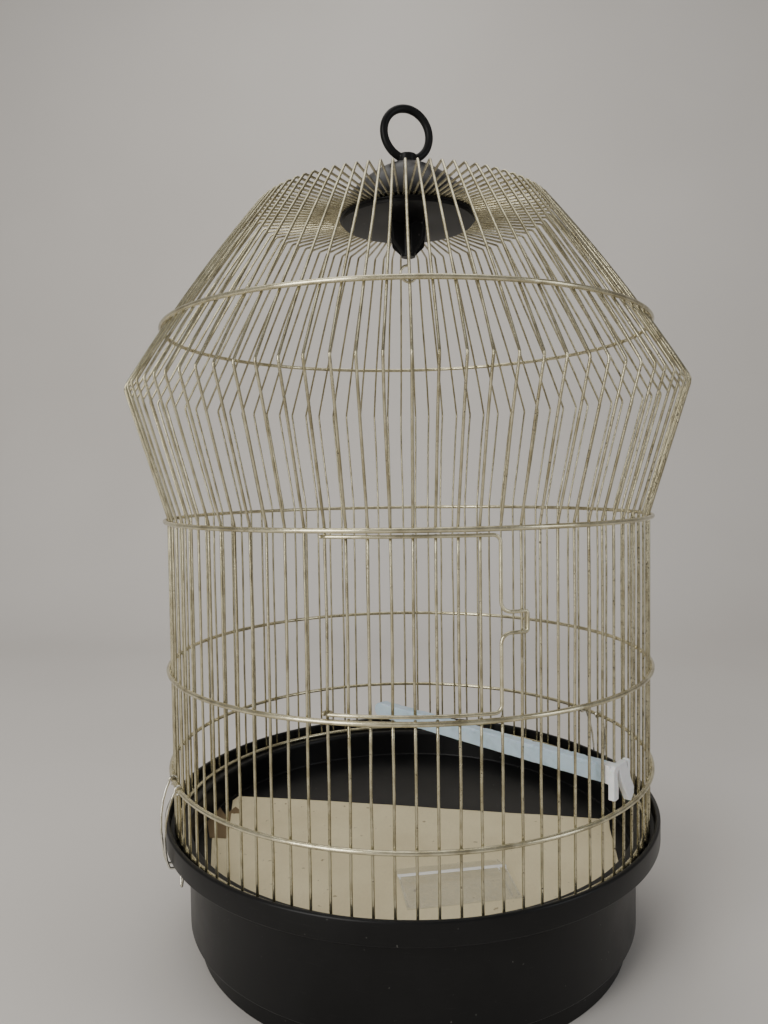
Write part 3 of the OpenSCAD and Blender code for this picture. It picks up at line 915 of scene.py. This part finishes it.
def turned_piece(name, node, outline, material, body="cage", segments=192):
    """A lathed piece about the crown's axis."""
    verts, faces = lathe_mesh(outline, segments)
    bm = bmesh.new()
    add_to_bmesh(bm, [v + Vector((CROWN_X, 0, 0)) for v in verts], faces)
    return finish_piece(from_bmesh(name, bm, 50), node, material, body)


def crown_pieces():
    foot, top = CAP_LOW.z, CAP_HIGH.z
    radius = (CAP_HIGH.x - CAP_LOW.x) / 2
    t = 1.8 * MM
    outer = [(r, foot + z) for r, z in cap_curve(radius, top - foot)]
    inner = [(r, foot + z) for r, z in cap_curve(radius - t, top - foot - t)]
    rim = [(radius - t, foot), (radius - t + 0.4 * MM, foot), (radius - 0.4 * MM, foot)]
    outline = rim + outer[1:] + [(STEM_HOLE, top), (STEM_HOLE, top - t)] + list(reversed(inner[1:]))
    turned_piece("crown_dome", "dome_cap", outline, CROWN_BLACK)

    low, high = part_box("crown_washer")
    ring = [(STEM_HOLE, low.z), (high.x - CROWN_X, low.z), (high.x - CROWN_X, high.z),
            (STEM_HOLE, high.z)]
    turned_piece("crown_flat_washer", "crown_washer", softened(ring, 0.25 * MM, 3), STEEL,
                 segments=72)

    low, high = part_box("under_disc")
    wide = high.x - CROWN_X
    disc = [(STEM_HOLE, low.z), (wide - 2 * MM, low.z), (wide - 2 * MM, high.z - 1.2 * MM),
            (wide, high.z - 1.2 * MM), (wide, high.z), (wide - 1.5 * MM, high.z),
            (wide - 3 * MM, high.z - 0.3 * MM), (STEM_HOLE, high.z - 0.3 * MM)]
    turned_piece("crown_disc", "under_disc", softened(disc, 0.45 * MM, 4), CROWN_BLACK)


crown_pieces()


def moulded(name, node, material, body, voxel, passes, wear=None):
    """A CAD node remeshed finely with its edges eased, as a moulding has them."""
    source = frame["nodes"][node]
    bm = bmesh.new()
    bm.from_mesh(source.data)
    bmesh.ops.transform(bm, matrix=source.matrix_world, verts=bm.verts)
    bmesh.ops.remove_doubles(bm, verts=bm.verts, dist=0.002 * MM)
    raw = bpy.data.meshes.new(name + "_raw")
    bm.to_mesh(raw)
    bm.free()
    obj = bpy.data.objects.new(name, raw)
    bpy.context.scene.collection.objects.link(obj)
    remesh = obj.modifiers.new("remesh", "REMESH")
    remesh.mode = "VOXEL"
    remesh.voxel_size = voxel
    ease = obj.modifiers.new("ease", "SMOOTH")
    ease.factor = 0.5
    ease.iterations = passes
    made = bpy.data.meshes.new_from_object(obj.evaluated_get(bpy.context.evaluated_depsgraph_get()))
    obj.modifiers.clear()
    obj.data = made
    if wear:
        for v in made.vertices:
            v.co = wear(v.co)
    made.polygons.foreach_set("use_smooth", [True] * len(made.polygons))
    return finish_piece(obj, node, material, body)


moulded("crown_ring_handle", "hanging_ring", CROWN_BLACK, "hanger", 0.4 * MM, 5)
moulded("crown_finned_nut", "finial_nut", CROWN_BLACK, "hanger", 0.4 * MM, 5)


def hook_piece():
    """Wire hook under the nut: a shank and three quarters of a loop."""
    low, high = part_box("swing_hook")
    wire, loop = 1.0 * MM, 6.5 * MM
    centre = Vector((CROWN_X, 0, low.z + wire + loop))
    flat = Vector((math.cos(math.radians(20)), math.sin(math.radians(20)), 0))
    path = [Vector((CROWN_X, 0, high.z)), centre + Vector((0, 0, loop))]
    for k in range(25, 271, 5):
        a = math.radians(90 + k)
        path.append(centre + loop * (math.cos(a) * flat + Vector((0, 0, math.sin(a)))))
    bent = rounded(path, [1.6 * MM] + [loop] * (len(path) - 3), 5)
    obj = new_object("crown_hook_wire", *tube_mesh(bent, wire, 14))
    finish_piece(obj, "swing_hook", HOOP_BRASS, "hanger")


hook_piece()

# ---------------------------------------------------------------- perch

PERCH_TURN = Matrix.Rotation(math.radians(44), 3, "Z")
PERCH_ROOT = 178.7 * MM
PERCH_Z = 161.6 * MM
PERCH_DROOP = math.radians(1.4)


def gnawed(co):
    """The bar's upper edges are nibbled: small hollows, deepest along its top corners."""
    local = PERCH_TURN.inverted() @ co
    depth = noise.noise(local * 210) + 0.5 * noise.noise(local * 520)
    corner = min(1, max(0, (abs(local.x) / MM - 2.6) / 1.6))
    if corner == 0 or depth < 0.12:
        return co
    droop = (local.y + PERCH_ROOT) * math.tan(PERCH_DROOP)
    if co.z < PERCH_Z - droop + 3.8 * MM:
        return co
    return co - Vector((0, 0, 1)) * (0.8 * MM * corner * min(1, (depth - 0.12) * 3))


def shorter_tongue(co):
    """The tongue on the perch's left ends a little higher than its CAD plate."""
    along = (PERCH_TURN.inverted() @ co).x
    mouth = PERCH_Z - 10 * MM
    if along > 3 * MM or co.z > mouth:
        return co
    return Vector((co.x, co.y, mouth + 0.5 * (co.z - mouth)))


moulded("perch_side_clip", "perch_clip", WHITE, "perch", 0.4 * MM, 6,
        shorter_tongue)
moulded("perch_long_bar", "perch_bar", PALE_BLUE, "perch", 0.55 * MM, 5, gnawed)

# ---------------------------------------------------------------- stage, lights and camera


def stage():
    """Pale floor that curves up into a plain backdrop."""
    deep, wide, high, bend = 1.5, 4.0, 3.0, 0.5
    profile = [(-3.5, 0.0), (deep - bend, 0.0)]
    profile += [(deep - bend + bend * math.sin(a), bend - bend * math.cos(a))
                for a in (math.radians(90 * k / 16) for k in range(1, 17))]
    profile.append((deep, high))
    verts, faces = [], []
    for y, z in profile:
        verts += [(-wide, y, z), (wide, y, z)]
    for i in range(len(profile) - 1):
        faces.append((2 * i, 2 * i + 1, 2 * i + 3, 2 * i + 2))
    floor = new_object("studio_floor", [Vector(v) for v in verts], faces)
    s = Shade("studio_paper")
    tone = s.ramp(s.noise(3, 2, 0.4), [(0.3, (0.66, 0.63, 0.59)), (0.7, (0.69, 0.66, 0.62))])
    s.set(Base_Color=tone, Roughness=0.9)
    floor.data.materials.append(s.material)


def area_light(name, place, aim, size, power, colour):
    lamp = bpy.data.lights.new(name, "AREA")
    lamp.shape = "RECTANGLE"
    lamp.size, lamp.size_y = size
    lamp.energy = power
    lamp.color = colour
    obj = bpy.data.objects.new(name, lamp)
    obj.location = place
    obj.rotation_euler = (Vector(aim) - Vector(place)).to_track_quat("-Z", "Y").to_euler()
    bpy.context.scene.collection.objects.link(obj)


def camera():
    """Camera at the photograph's place: level with the middle of the cage, from the front."""
    yaw, pitch, roll = math.radians(-2.56), math.radians(-2.35), math.radians(-0.81)
    ahead = Vector((math.sin(yaw) * math.cos(pitch), math.cos(yaw) * math.cos(pitch),
                    math.sin(pitch)))
    right = Vector((math.cos(yaw), -math.sin(yaw), 0))
    up = right.cross(ahead)
    right, up = (right * math.cos(roll) + up * math.sin(roll),
                 up * math.cos(roll) - right * math.sin(roll))
    data = bpy.data.cameras.new("camera")
    data.sensor_width = 36
    data.lens = 27.37
    data.clip_start = 0.01
    obj = bpy.data.objects.new("camera", data)
    turn = Matrix((right, up, -ahead)).transposed()
    obj.matrix_world = Matrix.Translation((0.00975, -0.61509, 0.34606)) @ turn.to_4x4()
    bpy.context.scene.collection.objects.link(obj)
    bpy.context.scene.camera = obj


def world():
    surround = bpy.data.worlds.new("studio")
    surround.use_nodes = True
    background = surround.node_tree.nodes["Background"]
    background.inputs["Color"].default_value = (0.62, 0.62, 0.64, 1)
    background.inputs["Strength"].default_value = 0.3
    bpy.context.scene.world = surround


stage()
world()
camera()
middle = (0, 0, 0.32)
area_light("key_left", (-1.2, -1.7, 0.9), middle, (1.0, 1.7), 38, (1.0, 0.98, 0.94))
area_light("fill_right", (1.9, -0.9, 0.8), middle, (0.7, 1.6), 9, (0.95, 0.97, 1.0))
area_light("top", (-0.2, 0.2, 2.1), middle, (1.6, 1.6), 16, (1.0, 0.98, 0.95))
